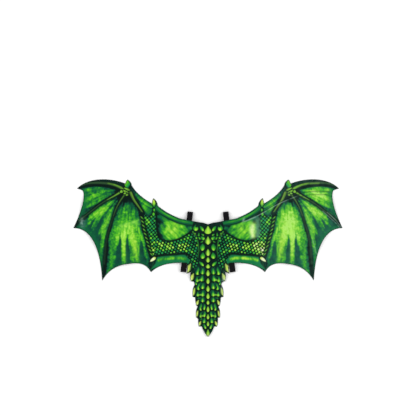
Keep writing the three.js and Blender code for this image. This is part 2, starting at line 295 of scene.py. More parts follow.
BACK_PLATES = [
    Mark(12.1, 44.4, 12.4, 51.4, 2.6, 0.66),
    Mark(8.3, 46.3, 4.4, 51.8, 1.5, 0.55),
    Mark(7.1, 54.5, 3.9, 56.2, 0.8, 0.5),
    Mark(9.0, 52.0, 9.5, 58.2, 0.8, 0.6),
    Mark(9.7, 57.0, 7.6, 60.2, 0.9, 0.5),
    Mark(7.6, 57.0, 3.4, 60.4, 1.8, 0.6),
    Mark(8.2, 63.4, 4.4, 61.8, 0.6, 0.5),
    Mark(5.5, 64.2, 5.7, 71.3, 2.4, 0.5),
    Mark(4.9, 72.4, 5.6, 79.4, 2.3, 0.62),
    Mark(9.4, 81.6, 4.4, 86.6, 1.5, 0.62),
    Mark(12.4, 56.8, 11.4, 59.4, 1.2, 0.6),
]
PLATE_HOLE = [Mark(11.4, 44.6, 11.6, 48.4, 0.9, 0.6)]
TAIL_LOBES = [
    Mark(9.3, 87.2, 10.8, 95.4, 2.6, 0.7),
    Mark(4.9, 87.8, 5.8, 94.8, 2.5, 0.72),
    Mark(10.9, 96.6, 10.9, 102.6, 2.4, 0.72),
    Mark(5.2, 95, 6.7, 101.8, 2.6, 0.74),
    Mark(12.6, 102.2, 11.6, 105.6, 1.4, 0.6),
    Mark(8.6, 103, 9.8, 110.5, 2.5, 0.72),
    Mark(4.7, 103.2, 5.7, 109.5, 2.4, 0.72),
    Mark(10.3, 111.6, 10.4, 117, 2.1, 0.72),
    Mark(4.8, 110, 5.6, 116.8, 2.5, 0.76),
    Mark(9, 117.4, 9.4, 121.6, 1.7, 0.66),
    Mark(5, 117, 5.7, 122.6, 2.4, 0.72),
    Mark(6.6, 123.2, 7.3, 131, 2.3, 0.72),
    Mark(3.2, 123.8, 3.8, 130.4, 2, 0.72),
    Mark(7, 132.4, 7.2, 138, 2, 0.74),
    Mark(3, 130.8, 3.6, 137.5, 2.3, 0.76),
    Mark(6.6, 138.4, 6.9, 141.8, 1.5, 0.6),
    Mark(3.3, 137.8, 4.2, 143.6, 2.1, 0.72),
    Mark(4.4, 144, 2.2, 149.4, 1.6, 0.62),
]
# Where the outer and inner lobes of some rows grow together.
LOBE_JOINS = [
    [(10.9, 101.2), (6.7, 100.4)],
    [(10.4, 115.6), (5.7, 115.3)],
    [(7.2, 136.6), (3.7, 136.2)],
]
SIDE_SPIKES = [
    Mark(17.0, 83.6, 21.2, 93.8, 2.6, 0.5),
    Mark(14.0, 93.2, 17.2, 102.0, 2.1, 0.52),
    Mark(12.8, 107.4, 15.4, 117.2, 1.8, 0.55),
    Mark(9.0, 119.8, 11.6, 126.4, 1.5, 0.54),
    Mark(9.7, 130.0, 11.8, 138.2, 1.5, 0.56),
    Mark(6.7, 140.8, 9.1, 147.0, 1.4, 0.54),
]

# Marks of old folds, in squares. side is 1 on the right wing and -1 on the left one.
FoldMark = namedtuple("FoldMark", "side path")
LONG_CREASE = [
    (36, 42.4), (46, 38.2), (52, 35.1), (60, 30.6), (67, 26.4), (76, 22), (87, 17.6), (97, 13.8),
    (108, 12.9), (121, 13.2),
]
FOLD_MARKS = [
    FoldMark(1, LONG_CREASE),
    FoldMark(1, [(45.4, 38), (45.2, 50), (44.6, 62), (43.6, 74)]),
    FoldMark(-1, [(91, 48.4), (82, 45.8), (75, 43.4), (68.5, 41.0)]),
]
# A painted highlight along the right wing's first finger.
RIGHT_BONE_HIGHLIGHT = [(86, 9), (94, 5.5), (102, 4.2), (111, 3.9)]
# Pale lines of painted sheen near the right wing's tip, and beside its third finger.
SHEEN_STREAKS = [
    [(114.6, 31.8), (122, 38.4), (129, 45), (133.4, 51)],
    [(119, 32.6), (127, 40.2), (133.8, 48.6)],
    [(103.8, 58), (106.2, 66), (108, 74)],
]

# The mesh of the cloth, in metres and degrees. A corner of the cut that turns less than the first angle is on
# a straight run, and one that turns more than the second stays sharp.
EDGE_STEP = 0.0016
STRAIGHT_TURN = 0.3
SHARP_TURN = 26
RIDGE_WIDTH = 0.004
WAVES_PER_METRE = 26
# Each ring of places over which a height is the mean: its radius and how many.
SMOOTHING_RINGS = [(0.005, 6), (0.01, 8)]
# The mesh of the elastic: the sides of the ring that it starts as, and the cuts in its straight runs.
LOOP_SIDES = 50
LOOP_CUTS = 60
SELVEDGE_ROUND = 0.0003


def ease(x):
    """A smooth step from 0 to 1."""
    x = np.clip(x, 0, 1)
    return x * x * (3 - 2 * x)


def fade(distance, full, none):
    """1 up to one distance and 0 from another on."""
    return ease((none - distance) / (none - full))


def glow(*offsets):
    """1 where every offset is 0, fading smoothly round it."""
    return np.exp(-sum(offset**2 for offset in offsets))


def chance(i, j, seed):
    """A number from 0 to 1 for each pair of whole numbers, the same in every run."""
    raw = np.sin(i * 127.1 + j * 311.7 + seed * 74.7) * 43758.5453
    return raw - np.floor(raw)


def mottle(x, y, seed):
    """Chances at whole numbers, blended smoothly between them."""
    i, j = np.floor(x), np.floor(y)
    across, down = ease(x - i), ease(y - j)
    top = chance(i, j, seed) * (1 - across) + chance(i + 1, j, seed) * across
    low = chance(i, j + 1, seed) * (1 - across) + chance(i + 1, j + 1, seed) * across
    return top * (1 - down) + low * down


def rough(x, y, seed, octaves=3):
    """Uneven values from -0.5 to 0.5, about one bump to a unit."""
    total = sum(mottle(x * 2**k, y * 2**k, seed + k) / 2**k for k in range(octaves))
    return total / sum(1 / 2**k for k in range(octaves)) - 0.5


def curved(points, pieces=6):
    """The same path, rounded through its points."""
    p = np.asarray(points, float)
    padded = np.vstack([2 * p[0] - p[1], p, 2 * p[-1] - p[-2]])
    t = np.linspace(0, 1, pieces, endpoint=False)[:, None]
    parts = []
    for a, b, c, d in zip(padded, padded[1:], padded[2:], padded[3:]):
        square = 2 * a - 5 * b + 4 * c - d
        cube = 3 * b - a - 3 * c + d
        parts.append(0.5 * (2 * b + (c - a) * t + square * t**2 + cube * t**3))
    return np.vstack([*parts, p[-1:]])


def measure(at, path):
    """Each point's distance from a path, and the share of the path's length at which it is nearest."""
    path = np.asarray(path, float)
    steps = np.diff(path, axis=0)
    lengths = np.hypot(*steps.T)
    behind = np.concatenate([[0], np.cumsum(lengths)])
    distance = np.full(len(at), np.inf)
    share = np.zeros(len(at))
    for start, step, length, before in zip(path, steps, lengths, behind):
        gap = at - start
        t = np.clip(gap @ step / length**2, 0, 1)
        off = gap - t[:, None] * step
        far = np.hypot(*off.T)
        closer = far < distance
        distance[closer] = far[closer]
        share[closer] = ((before + t * length) / behind[-1])[closer]
    return distance, share


def within(at, outline):
    """Whether each point is inside a closed outline."""
    held = np.zeros(len(at), bool)
    x, y = at.T
    for (x0, y0), (x1, y1) in zip(outline, np.roll(outline, -1, axis=0)):
        if y0 != y1:
            held ^= ((y0 > y) != (y1 > y)) & (x < (x1 - x0) * (y - y0) / (y1 - y0) + x0)
    return held


def reach_and_turn(at):
    """Distance of points from the wrist, and their direction round it."""
    x, y = (np.atleast_2d(at) - WRIST).T
    return np.hypot(x, y), np.arctan2(y, x)


def skin_shares(reach, turn):
    """The skin that each point lies in, or -1, and its share of the way across it."""
    turns = []
    for finger in FINGERS:
        along, bearing = reach_and_turn(curved(finger))
        order = np.argsort(along)
        turns.append(np.interp(reach, along[order], bearing[order]))
    number = np.full(len(reach), -1)
    share = np.zeros(len(reach))
    for i in range(len(turns) - 1):
        part = (turn - turns[i]) / (turns[i + 1] - turns[i])
        here = (part >= 0) & (part < 1)
        number[here] = i
        share[here] = part[here]
    return number, share


class WingPrint:
    """Inks laid one over another on a set of points of the cloth.

    at holds the points as (out, down), side is 1 for those on the right wing and -1 for those on the left
    one, and edge is the path of the cut.
    """

    def __init__(self, at, side, edge, inks):
        self.at = at
        self.side = side
        self.inks = inks
        self.colours = np.tile(inks["ground"], (len(at), 1))
        self.reach, self.turn = reach_and_turn(at)
        self.edge_gap = measure(at, edge)[0]

    def mixed(self, palette, value):
        """The palette's colour at each value."""
        table = np.array([self.inks[name] for name in palette.inks])
        return np.column_stack([np.interp(value, palette.stops, channel) for channel in table.T])

    def lay(self, colour, cover, places=slice(None)):
        """Covers what is there with an ink, or with a colour for each point, by a share from 0 to 1."""
        if isinstance(colour, str):
            colour = self.inks[colour]
        share = np.clip(np.asarray(cover, float), 0, 1)
        self.colours[places] += (colour - self.colours[places]) * share[:, None]

    def near(self, middle, reach):
        """The numbers of the points in a square round a place."""
        return np.flatnonzero((np.abs(self.at - middle) < reach).all(1))

    def patch(self, outline, soft):
        """Cover inside an outline, and the distance into it."""
        closed = np.vstack([outline, outline[:1]])
        distance = measure(self.at, closed)[0]
        inside = np.where(within(self.at, outline), distance, -distance)
        return ease(0.5 + inside / (2 * soft)), inside

    def stroke(self, path, width, colour, soft=0.5, ends=(1, 1), strength=1.0):
        """A line of ink along a path. ends are the shares of its width at its start and its end."""
        distance, share = measure(self.at, path)
        half = width / 2 * np.interp(share, [0, 1], ends)
        self.lay(colour, strength * fade(distance, half - soft / 2, half + soft / 2))

    def draw(self, lines):
        """Lines from a table, each along its rounded path."""
        for line in lines:
            self.stroke(curved(line.path), line.width, line.ink, line.soft, line.ends, line.strength)

    def rub(self, path, colour, cover, full, none):
        """Ink along a rounded path, full up to one distance from it and gone from another on."""
        self.lay(colour, cover * fade(measure(self.at, curved(path))[0], full, none))

    def mark(self, mark, palette, taper=(1.0, 1.0), rim=0.8, rim_from=0.0, light=0.0, heart=0.0, soft=0.35):
        """One horn, plate or claw, with a dark rim outside it.

        taper is how sharply its root and its tip narrow. The shading runs from root to tip, heart is how far
        the middle line leads it instead, and light is how much lighter one side is than the middle.
        """
        root = np.array([mark.root_out, mark.root_down])
        axis = np.array([mark.tip_out, mark.tip_down]) - root
        length = np.hypot(*axis)
        places = self.near(root + axis / 2, length / 2 + mark.half + rim + 1)
        gap = self.at[places] - root
        along = gap @ axis / length**2
        across = (axis[0] * gap[:, 1] - axis[1] * gap[:, 0]) / length
        bend = np.log(0.5) / np.log(mark.widest)

        def cover(grow):
            t = (along * length + grow) / (length + 2 * grow)
            held = (t > 0) & (t < 1)
            t = np.clip(t, 1e-6, 1 - 1e-6)
            power = taper[0] + (taper[1] - taper[0]) * t
            profile = (mark.half + grow) * np.sin(np.pi * t**bend) ** power
            inside = fade(np.abs(across) - profile, -soft, soft)
            return held * inside * ease(profile / (2 * soft)), profile

        rimmed = np.where(along < rim_from, ease(1 + (along - rim_from) * 3), 1)
        self.lay("black", cover(rim)[0] * rimmed, places)
        held, profile = cover(0)
        middle = 1 - np.abs(across) / np.maximum(profile, 0.1)
        shade = (1 - heart) * along + heart * middle + light * across / mark.half
        uneven = 0.16 * rough(self.at[places, 0] * 1.1, self.at[places, 1] * 0.5, 83, 2)
        self.lay(self.mixed(palette, shade + uneven), held, places)

    def marks(self, marks, palette, **finish):
        for mark in marks:
            self.mark(mark, palette, **finish)

    def scales(self, area, turn, pitch, rise, value, seed, spread):
        """Staggered rows of small ovals on a dark ground, turned by some degrees.

        pitch is from oval to oval along a row and rise from row to row. spread is how much the ovals differ.
        """
        cover = self.patch(area, 0.5)[0]
        places = np.flatnonzero(cover > 0.01)
        x, y = self.at[places].T
        c, s = np.cos(np.radians(turn)), np.sin(np.radians(turn))
        run, climb = c * x + s * y, -s * x + c * y
        self.lay("black", cover[places], places)
        for shift in (0.0, 0.5):
            i, j = run / pitch + shift, climb / (2 * rise) + shift
            column, row = np.floor(i), np.floor(j)
            right, up = (i - column - 0.5) * pitch, (j - row - 0.5) * 2 * rise
            size = SCALE_FILL * (0.8 + 0.4 * chance(column, row + 57 * shift, seed + 1))
            right, up = right + 0.15 * up, up - 0.12 * right
            far = (right / (0.5 * pitch * size)) ** 2 + (up / (SCALE_HALF_HEIGHT * size)) ** 2
            pick = chance(column + 31 * shift, row, seed)
            tone = value[places] + spread * (pick - 0.45) - 0.24 * far + 0.16
            self.lay(self.mixed(SCALE, tone), cover[places] * fade(far, 0.65, 1.15), places)


def print_skins(p):
    """The three skins between the fingers: streaks and crinkles, lights, dark flames and shadows, and a
    painted sheen near the right wing's wrist.
    """
    number, share = skin_shares(p.reach, p.turn)
    x, y = p.at.T
    fan = share * SKIN_STREAKS[number] + number * 31
    warp = 0.5 * rough(x * 0.12, y * 0.12, 71)
    streaks = rough(fan + warp, p.reach * 0.05, 3, 2)
    fine = rough(fan * 3 + warp, p.reach * 0.12, 5, 3)
    crinkle = rough(x * 0.45, y * 0.45, 9, 3) + 0.8 * rough(x * 0.85, y * 0.85, 19, 2)
    value = np.interp(p.reach + SKIN_DARK_REACH[number], *REACH_TONES)
    value = value + 0.44 * streaks + 0.34 * fine + 0.42 * crinkle
    value = value - 0.1 * (number == 0) - 0.03 * (number == 1)
    for row in LIGHTS:
        far = np.hypot((share - row.share) / row.wide, (p.reach - row.reach) / row.long)
        value += (number == row.skin) * row.gain * glow(far)
    # Painted sheen: the right wing's skins are lighter near the wrist, and a little lighter all over.
    bright = glow((share - 0.5) / 0.36, (p.reach - 27) / 14)
    value += (p.side > 0) * (bright * SKIN_RIGHT_SHEEN[number] + 0.02)
    for row in FLAMES:
        t = np.clip((p.reach - row.start) / (row.end - row.start), 0, 1)
        middle = row.share + (row.to_share - row.share) * t + 0.05 * rough(p.reach * 0.12, share * 6, 21)
        off = np.abs(share - middle) / (row.wide * t**0.7 + 1e-3)
        value -= (number == row.skin) * row.depth * fade(off, 0.3, 1.25) * ease(t * 3)
    value = np.maximum(value, 0.24 + 0.14 * rough(x * 0.3, y * 0.3, 13))
    for finger, wide, depth in FINGER_SHADOWS:
        value -= depth * glow(measure(p.at, finger)[0] / wide)
    value -= 0.3 * fade(p.reach, 4, 15)
    p.lay(p.mixed(SKIN, value), number >= 0)
    edge_wide = SKIN_EDGE[number]
    edge = fade(p.edge_gap + 1.2 * rough(x * 0.5, y * 0.5, 23), edge_wide * 0.2, edge_wide)
    p.lay("deep_green", 0.7 * edge * (number >= 0))
    for row in WARM_LIGHTS:
        warm = glow((share - row.share) / row.wide, (p.reach - row.reach) / row.long)
        p.lay("yellow_lime", row.gain * warm * (number == row.skin) * (0.8 + 0.8 * fine))


def print_leading_band(p):
    """The skin before the forearm, and the band along the wings' top from elbow to neck."""
    x, y = p.at.T
    cover, inside = p.patch(LEADING_SKIN, 0.8)
    lanes = rough((x - y) * 0.75, (x + y) * 0.09, 5)
    value = 0.36 + 0.38 * lanes + 0.34 * glow((x - 64) / 4, (y - 28) / 5.5)
    value += 0.2 * glow((p.edge_gap - 3.4) / 1.2) - 0.2 * glow((p.edge_gap - 5.0) / 0.6)
    value -= 0.25 * fade(inside, 0, 2)
    p.lay(p.mixed(SKIN, value), cover)
    cover = p.patch(TOP_BAND, 0.6)[0]
    fold = curved(TOP_BAND_FOLD)
    fold_gap = measure(p.at, fold)[0]
    lanes = rough(x * 0.14, fold_gap * 1.1, 12)
    value = 0.27 + 0.34 * lanes + 0.3 * glow((fold_gap - 2.7) / 0.9) * fade(np.abs(x - 35), 8, 22)
    p.lay(p.mixed(SKIN, value), cover)
    p.stroke(fold, 1.0, "black", soft=0.9, strength=0.75)


def print_inner_skin(p):
    """The rounded skin between the upper arm and the top band."""
    x, y = p.at.T
    cover, inside = p.patch(curved(INNER_SKIN + INNER_SKIN[:1])[:-1], 0.6)
    value = 0.45 - 0.1 * (p.side > 0) + 0.1 * ease(inside / 3)
    value = value - 0.2 * fade(x, 18, 27) - 0.42 * fade(50 - x, 0, 8)
    value += 0.2 * glow((x - 35) / 9, (y - 50) / 8)
    value += 0.64 * rough(x * 0.3, y * 0.3, 14) + 0.56 * rough((x + y) * 0.5, (x - y) * 0.12, 15)
    p.lay(p.mixed(SKIN, value), cover)
    warm = glow((x - 34) / 8, (y - 49) / 8) * cover
    p.lay("yellow_lime", 0.25 * warm * (1 + 2.4 * rough(x * 0.4, y * 0.4, 17)))


def print_lower_strip(p):
    """The strip below the upper arm, with a light along its middle."""
    x, y = p.at.T
    cover = p.patch(LOWER_STRIP, 0.7)[0]
    lit = glow(measure(p.at, curved(LOWER_STRIP_GLOW))[0] / 1.5)
    uneven = rough(x * 0.4, y * 0.3, 16)
    p.lay(p.mixed(SKIN, 0.29 + 0.1 * uneven), cover)
    p.lay("sea_green", 0.5 * cover)
    # On the right wing the strip's middle is painted lighter and yellower, as painted sheen.
    p.lay(p.mixed(SKIN, 0.54 + 0.7 * uneven + 0.12 * (p.side > 0)), cover * ease(1.3 * lit))
    p.lay("yellow_lime", (0.12 + 0.3 * (p.side > 0)) * cover * lit**2 * (1 + 4 * uneven))
    p.draw(LOWER_STRIP_LINES)


def print_arm_scales(p):
    """The scales of the forearm and the upper arm, and the slanted stripes along the forearm."""
    x, y = p.at.T
    glare = 0.5 * (p.side > 0) * glow((x - 52) / 6, (y - 70) / 8)
    centre = 57.4 - (y - 50) * 0.14
    value = 0.32 + glare + 0.16 * glow((x - centre) / 3.4) + 0.12 * fade(np.abs(y - 71), 3, 8)
    value -= 0.08 * fade(y, 36, 44)
    p.scales(FOREARM_SCALES, -6, 3.75, 1.95, value, 31, 0.42)
    middle = 67 + 0.05 * (x - 34)
    value = 0.27 + glare + 0.34 * glow((y - middle) / 5.4) * fade(np.abs(x - 33), 6, 30)
    value += 0.12 * glow((x - 50) / 6)
    p.scales(UPPER_ARM_SCALES, 16.3, 3.4, 2.41, value, 33, 0.62)
    p.draw(ARM_LINES)
    p.stroke(FOREARM_STRIPE_GROUND, 4.2, "black", soft=1.0, strength=0.95)
    for t in np.linspace(0, 1, STRIPE_COUNT):
        out, down = FIRST_STRIPE + (LAST_STRIPE - FIRST_STRIPE) * t + (np.sin(np.pi * t), 0)
        stripe = Mark(out + 2.2, down - 2.1, out - 2.2, down + 2.1, 0.52, 0.5)
        p.mark(stripe, STRIPE, taper=(0.5, 0.6), rim=0.5)


def print_back_and_tail(p):
    """The dark back and tail, with their plates, lobes, side spikes and spine."""
    x, y = p.at.T
    cover = p.patch(BACK, 0.6)[0]
    p.lay("black", cover)
    tail = ease((y - 84) / 6) * fade(x, 12, 17) * ease((x - 1.5) / 2)
    streaks = rough(x * 0.9, y * 0.16, 43)
    p.lay(p.mixed(SKIN, 0.08 + 0.12 * tail + (0.24 + 0.24 * tail) * streaks), cover * 0.85)
    p.stroke(SHOULDER_LINE, 0.9, "olive", soft=0.6, strength=0.8)
    p.stroke(BACK_LINE, 0.9, "leaf_green", soft=0.7, ends=(1.1, 0.5), strength=0.7)
    p.marks(BACK_PLATES, PLATE, taper=(0.7, 0.6), rim=0.7, light=0.12, heart=0.3)
    p.marks(PLATE_HOLE, HOLE, rim=0)
    p.marks(TAIL_LOBES, LOBE, taper=(0.35, 0.4), rim=1.2, rim_from=0.7, light=0.1, heart=0.55, soft=0.6)
    for join in LOBE_JOINS:
        p.stroke(join, 1.5, "lime", soft=1.2, strength=0.75)
    p.marks(SIDE_SPIKES, SPIKE, taper=(0.9, 1.4), rim=1.2, light=-0.25, heart=0.5)
    p.marks(NECK_SPINE, NECK_HORN, taper=(0.65, 0.6), rim=0.9, heart=0.6, light=0.1)
    p.marks(SPINES, HORN, taper=(1.2, 0.9), rim=1.3, heart=0.5, light=0.16)
    p.marks(TAIL_TIP, TIP, taper=(0.9, 1.1), rim=0.6, heart=0.5, light=0.3)


def print_wear(p):
    """Painted sheen, highlights and shade on the folds and glossy patches, and a pale patch near the left
    tip, which aren't the same on both wings.
    """
    x, y = p.at.T
    right, left = p.side > 0, p.side < 0
    uneven = np.clip(1 + 2.2 * rough(x * 0.35, y * 0.35, 91), 0, 1.4)
    # A faint painted sheen over the outer right wing.
    p.lay("pale_grey", 0.1 * right * uneven * ease((x - 40) / 20))

    # The glossy upright fold across the right inner skin: painted sheen with a painted highlight on it, and a
    # painted green reflection beside it.
    green_reflection = glow((x - 49.4) / 2.9) * fade(np.abs(y - 48), 8, 12.5)
    p.lay("sheen_green", 0.62 * green_reflection * right * (0.5 + 0.5 * uneven))
    off = x - 44.5 + 3 * rough(x * 0.25, y * 0.25, 95)
    sheen = np.exp(-(np.abs(off / 3.4) ** 3)) * fade(np.abs(y - 50.5 - 0.4 * off), 5, 11)
    p.lay("pale_lime", 0.8 * sheen * right * (0.7 + 0.3 * uneven))
    core = glow((off + 0.6) / 2.2) * fade(np.abs(y - 52), 4, 9)
    p.lay("pale", 0.7 * core * right * (0.6 + 0.4 * uneven))

    # The long crease, a painted highlight between dark lines of painted shade, and the thin painted
    # highlights and sheen streaks further out.
    crease = np.array(LONG_CREASE)
    outer = ease((x - 84) / 7)
    p.rub(crease - (0.3, 0.9), "black", (0.5 - 0.1 * outer) * right, 0.1, 0.8)
    p.rub(crease + (0, 2.4), "black", 0.35 * outer * right, 0.1, 0.7)
    pale = 0.5 + 0.3 * glow((x - 44) / 7) - 0.4 * outer
    p.rub(crease, "pale_grey", pale * right * np.clip(uneven, 0, 1), 0.1, 0.85)
    p.rub(RIGHT_BONE_HIGHLIGHT, "lime", 0.4 * right * np.clip(uneven, 0, 1), 0.2, 1.3)
    for streak in SHEEN_STREAKS:
        p.rub(streak, "pale_grey", 0.5 * right * np.clip(uneven, 0.3, 1), 0.05, 0.6)

    # The left wing's soft band of painted highlight below its fold, and a pale grey patch near its tip.
    below = y - 47.5 - 0.29 * (x - 91.8)
    band = glow(below / np.where(below > 0, 5.5, 1.3)) * fade(np.abs(x - 79), 7, 14)
    p.lay("pale_lime", 0.5 * band * left * uneven)
    tip_patch = glow((x - 125.6) / 2.8, (y - 43.6) / 5)
    p.lay("pale_grey", 0.5 * tip_patch * left * (1 + 3 * rough(x * 0.7, y * 0.7, 93)))

    # A painted glint at the crease's inner end, and a pale grey patch on the right edge of the tail's upper
    # rows.
    glint = glow((x - 35.5 + 0.3 * (y - 40.6)) / 1.2, (y - 40.6) / 2.6)
    p.lay("pale_grey", 0.7 * glint * right)
    tail_side = glow((x - 15.4 + 0.12 * (y - 97)) / 1.7, (y - 104) / 9.5)
    p.lay("pale_grey", 0.6 * tail_side * right * np.clip(uneven, 0.3, 1))


def printed_colours(at, side, edge, inks):
    """The print's colour at each point of the face."""
    p = WingPrint(at, side, edge, inks)
    print_skins(p)
    print_leading_band(p)
    print_inner_skin(p)
    print_lower_strip(p)
    p.draw(BONE_LINES)
    print_arm_scales(p)
    p.marks(THUMB_CLAW, CLAW, taper=(0.7, 1.1), rim=1.0, light=0.35)
    p.marks(ELBOW_KNOTS, CLAW, rim=0.7, heart=0.5)
    p.marks(ELBOW_SPURS, SPUR, taper=(0.8, 1.1), rim=0.9)
    p.marks(KNUCKLES, KNUCKLE, taper=(0.6, 0.6), rim=0.6, heart=0.4)
    p.marks(ELBOW_TUSK, TUSK, taper=(0.6, 1.3), rim=0.9)
    print_back_and_tail(p)
    print_wear(p)
    p.lay("black", 0.7 * fade(p.edge_gap, 0.1, 0.9))
    return p.colours


def linear(colour):
    """A screen colour in linear light."""
    colour = np.asarray(colour, float)
    return np.where(colour <= 0.04045, colour / 12.92, ((colour + 0.055) / 1.055) ** 2.4)


def ink(name, use, code):
    """A colour of the print, from its hex code."""
    default = [int(code[i : i + 2], 16) / 255 for i in (0, 2, 4)]
    return FloatVectorProperty(
        name=name, description=use, subtype="COLOR_GAMMA", size=3, min=0, max=1, default=default
    )


def metres(name, use, default, low, high):
    return FloatProperty(
        name=name, description=use, unit="LENGTH", default=default, min=low, max=high, precision=5
    )


class PrintInks(bpy.types.PropertyGroup):
    """The inks of the wings' print."""

    black: ink("Black", "Outlines, bones and the gaps between scales", "071915")
    ground: ink("Ground", "The dark ground under the back and tail", "0b2822")
    teal: ink("Teal", "The darkest flames of the wing skin", "0d4636")
    deep_green: ink("Deep green", "Flames and edges of the wing skin", "0e6236")
    green: ink("Green", "The wing skin away from its lights", "277f2b")
    leaf_green: ink("Leaf green", "The wing skin's middle tone", "3ba427")
    bright_green: ink("Bright green", "The wing skin's lighter streaks", "60be28")
    lime: ink("Lime", "The lights of skins, plates and scales", "8bd33c")
    yellow_lime: ink("Yellow lime", "The warm glow in the skins and plates", "bcdd48")
    pale_lime: ink("Pale lime", "The palest part of a horn or scale", "a9e65c")
    # On the right wing's glossy fold this ink is a painted highlight.
    pale: ink("Pale", "Horn tips and the rubbed fold", "e6f2ba")
    bone: ink("Bone", "The dull faces of the side spikes", "a9ba62")
    olive: ink("Olive", "Bones and the roots of the horns", "4d7c2a")
    dark_olive: ink("Dark olive", "The shaded side of the bones", "2b4a2c")
    sea_green: ink("Sea green", "The roots of scales and plates", "1d8a4e")
    # Painted sheen, highlights and glints on the folds and glossy patches, and pale grey patches near the
    # left tip and on the tail.
    pale_grey: ink("Worn", "Where folds have rubbed the ink", "9fb8ac")
    # The painted green reflection beside the glossy fold on the right wing.
    sheen_green: ink("Rubbed green", "The softer edge of the rubbed fold", "74c08e")


class ClothSettings(bpy.types.PropertyGroup):
    """How the printed cloth is drawn."""

    fine_step: metres("Fine step", "Spacing of the mesh where the print is fine", 0.00165, 0.001, 0.01)
    open_step: metres("Open step", "Spacing of the mesh in the open skins", 0.0028, 0.001, 0.02)
    back_step: metres("Back step", "Spacing of the mesh on the plain back", 0.0085, 0.003, 0.03)
    ripple: metres("Ripple", "Height of the small waves in which the cloth lies", 0.0007, 0.0, 0.003)
    fold_ridge: metres("Fold ridge", "Height of the sharp ridge along a fold mark", 0.0009, 0.0, 0.003)
    edge_round: metres("Edge rounding", "How far the cut edge is rounded", 0.0005, 0.0001, 0.0009)
    back_colour: ink("Back", "The plain back of the cloth", "0f3a26")


class LoopSettings(bpy.types.PropertyGroup):
    """How the elastic is drawn."""

    ribs: IntProperty(name="Ribs", description="Raised cords across the elastic", default=11, min=4, max=20)
    rib_height: metres("Rib height", "How far a rib stands out", 0.00014, 0.0, 0.0004)
    elastic_colour: ink("Elastic", "The elastic's yarn", "100f12")


def deselect_all():
    if bpy.context.object and bpy.context.object.mode != "OBJECT":
        bpy.ops.object.mode_set(mode="OBJECT")
    bpy.ops.object.select_all(action="DESELECT")


def add_node(tree, kind, inputs=None, **settings):
    """A node with its settings and its inputs, which are values or the sockets to link from."""
    node = tree.nodes.new(kind)
    for name, value in settings.items():
        setattr(node, name, value)
    for name, value in (inputs or {}).items():
        if isinstance(value, bpy.types.NodeSocket):
            tree.links.new(value, node.inputs[name])
        else:
            node.inputs[name].default_value = value
    return node


def new_material(name):
    material = bpy.data.materials.new(name)
    material.use_nodes = True
    tree = material.node_tree
    return material, tree, tree.nodes["Principled BSDF"]


def scaled_noise(tree, place, scale, low, high, detail=2.0, distortion=0.0):
    """Noise spread between two values."""
    noise = add_node(tree, "ShaderNodeTexNoise", {
        "Vector": place, "Scale": scale, "Detail": detail, "Distortion": distortion,
    })
    spread = add_node(tree, "ShaderNodeMapRange", {
        "Value": noise.outputs["Fac"],
        "From Min": 0.3,
        "From Max": 0.7,
        "To Min": low,
        "To Max": high,
    })
    return spread.outputs["Result"]


def felt_bump(tree, place, strength):
    """Needled fibres over shallow wrinkles."""
    fibres = add_node(tree, "ShaderNodeTexNoise", {
        "Vector": place, "Scale": 900.0, "Detail": 3.0, "Roughness": 0.65, "Distortion": 1.6,
    })
    needled = add_node(tree, "ShaderNodeTexVoronoi", {"Vector": place, "Scale": 420.0})
    wrinkles = add_node(tree, "ShaderNodeTexNoise", {"Vector": place, "Scale": 34.0, "Detail": 3.0})
    broad = add_node(tree, "ShaderNodeBump", {
        "Height": wrinkles.outputs["Fac"], "Strength": 0.35, "Distance": 0.003,
    })
    pits = add_node(tree, "ShaderNodeBump", {
        "Height": needled.outputs["Distance"], "Strength": strength * 0.5, "Distance": 0.0004,
        "Normal": broad.outputs["Normal"],
    })
    return add_node(tree, "ShaderNodeBump", {
        "Height": fibres.outputs["Fac"], "Strength": strength, "Distance": 0.0005,
        "Normal": pits.outputs["Normal"],
    }).outputs["Normal"]


def printed_felt():
    material, tree, shader = new_material("printed felt")
    place = add_node(tree, "ShaderNodeTexCoord").outputs["Object"]
    inked = add_node(tree, "ShaderNodeAttribute", attribute_name="print").outputs["Color"]
    blotches = scaled_noise(tree, place, 520.0, 0.9, 1.08, 3.0)
    colour = add_node(tree, "ShaderNodeVectorMath", {0: inked, "Scale": blotches}, operation="SCALE")
    tree.links.new(colour.outputs["Vector"], shader.inputs["Base Color"])
    tree.links.new(scaled_noise(tree, place, 60.0, 0.55, 0.72), shader.inputs["Roughness"])
    tree.links.new(felt_bump(tree, place, 0.35), shader.inputs["Normal"])
    shader.inputs["Specular IOR Level"].default_value = 0.04
    return material


def plain_felt(colour):
    material, tree, shader = new_material("plain felt back")
    place = add_node(tree, "ShaderNodeTexCoord").outputs["Object"]
    tone = linear(colour)
    lint = scaled_noise(tree, place, 260.0, 0.0, 1.0, 4.0, 2.0)
    mixed = add_node(tree, "ShaderNodeMix", {
        "Factor": lint, 6: (*(tone * 0.8), 1.0), 7: (*(tone * 1.35 + 0.004), 1.0),
    }, data_type="RGBA")
    tree.links.new(mixed.outputs[2], shader.inputs["Base Color"])
    tree.links.new(scaled_noise(tree, place, 60.0, 0.8, 0.95), shader.inputs["Roughness"])
    tree.links.new(felt_bump(tree, place, 0.7), shader.inputs["Normal"])
    shader.inputs["Specular IOR Level"].default_value = 0.2
    shader.inputs["Sheen Weight"].default_value = 0.25
    shader.inputs["Sheen Roughness"].default_value = 0.45
    return material


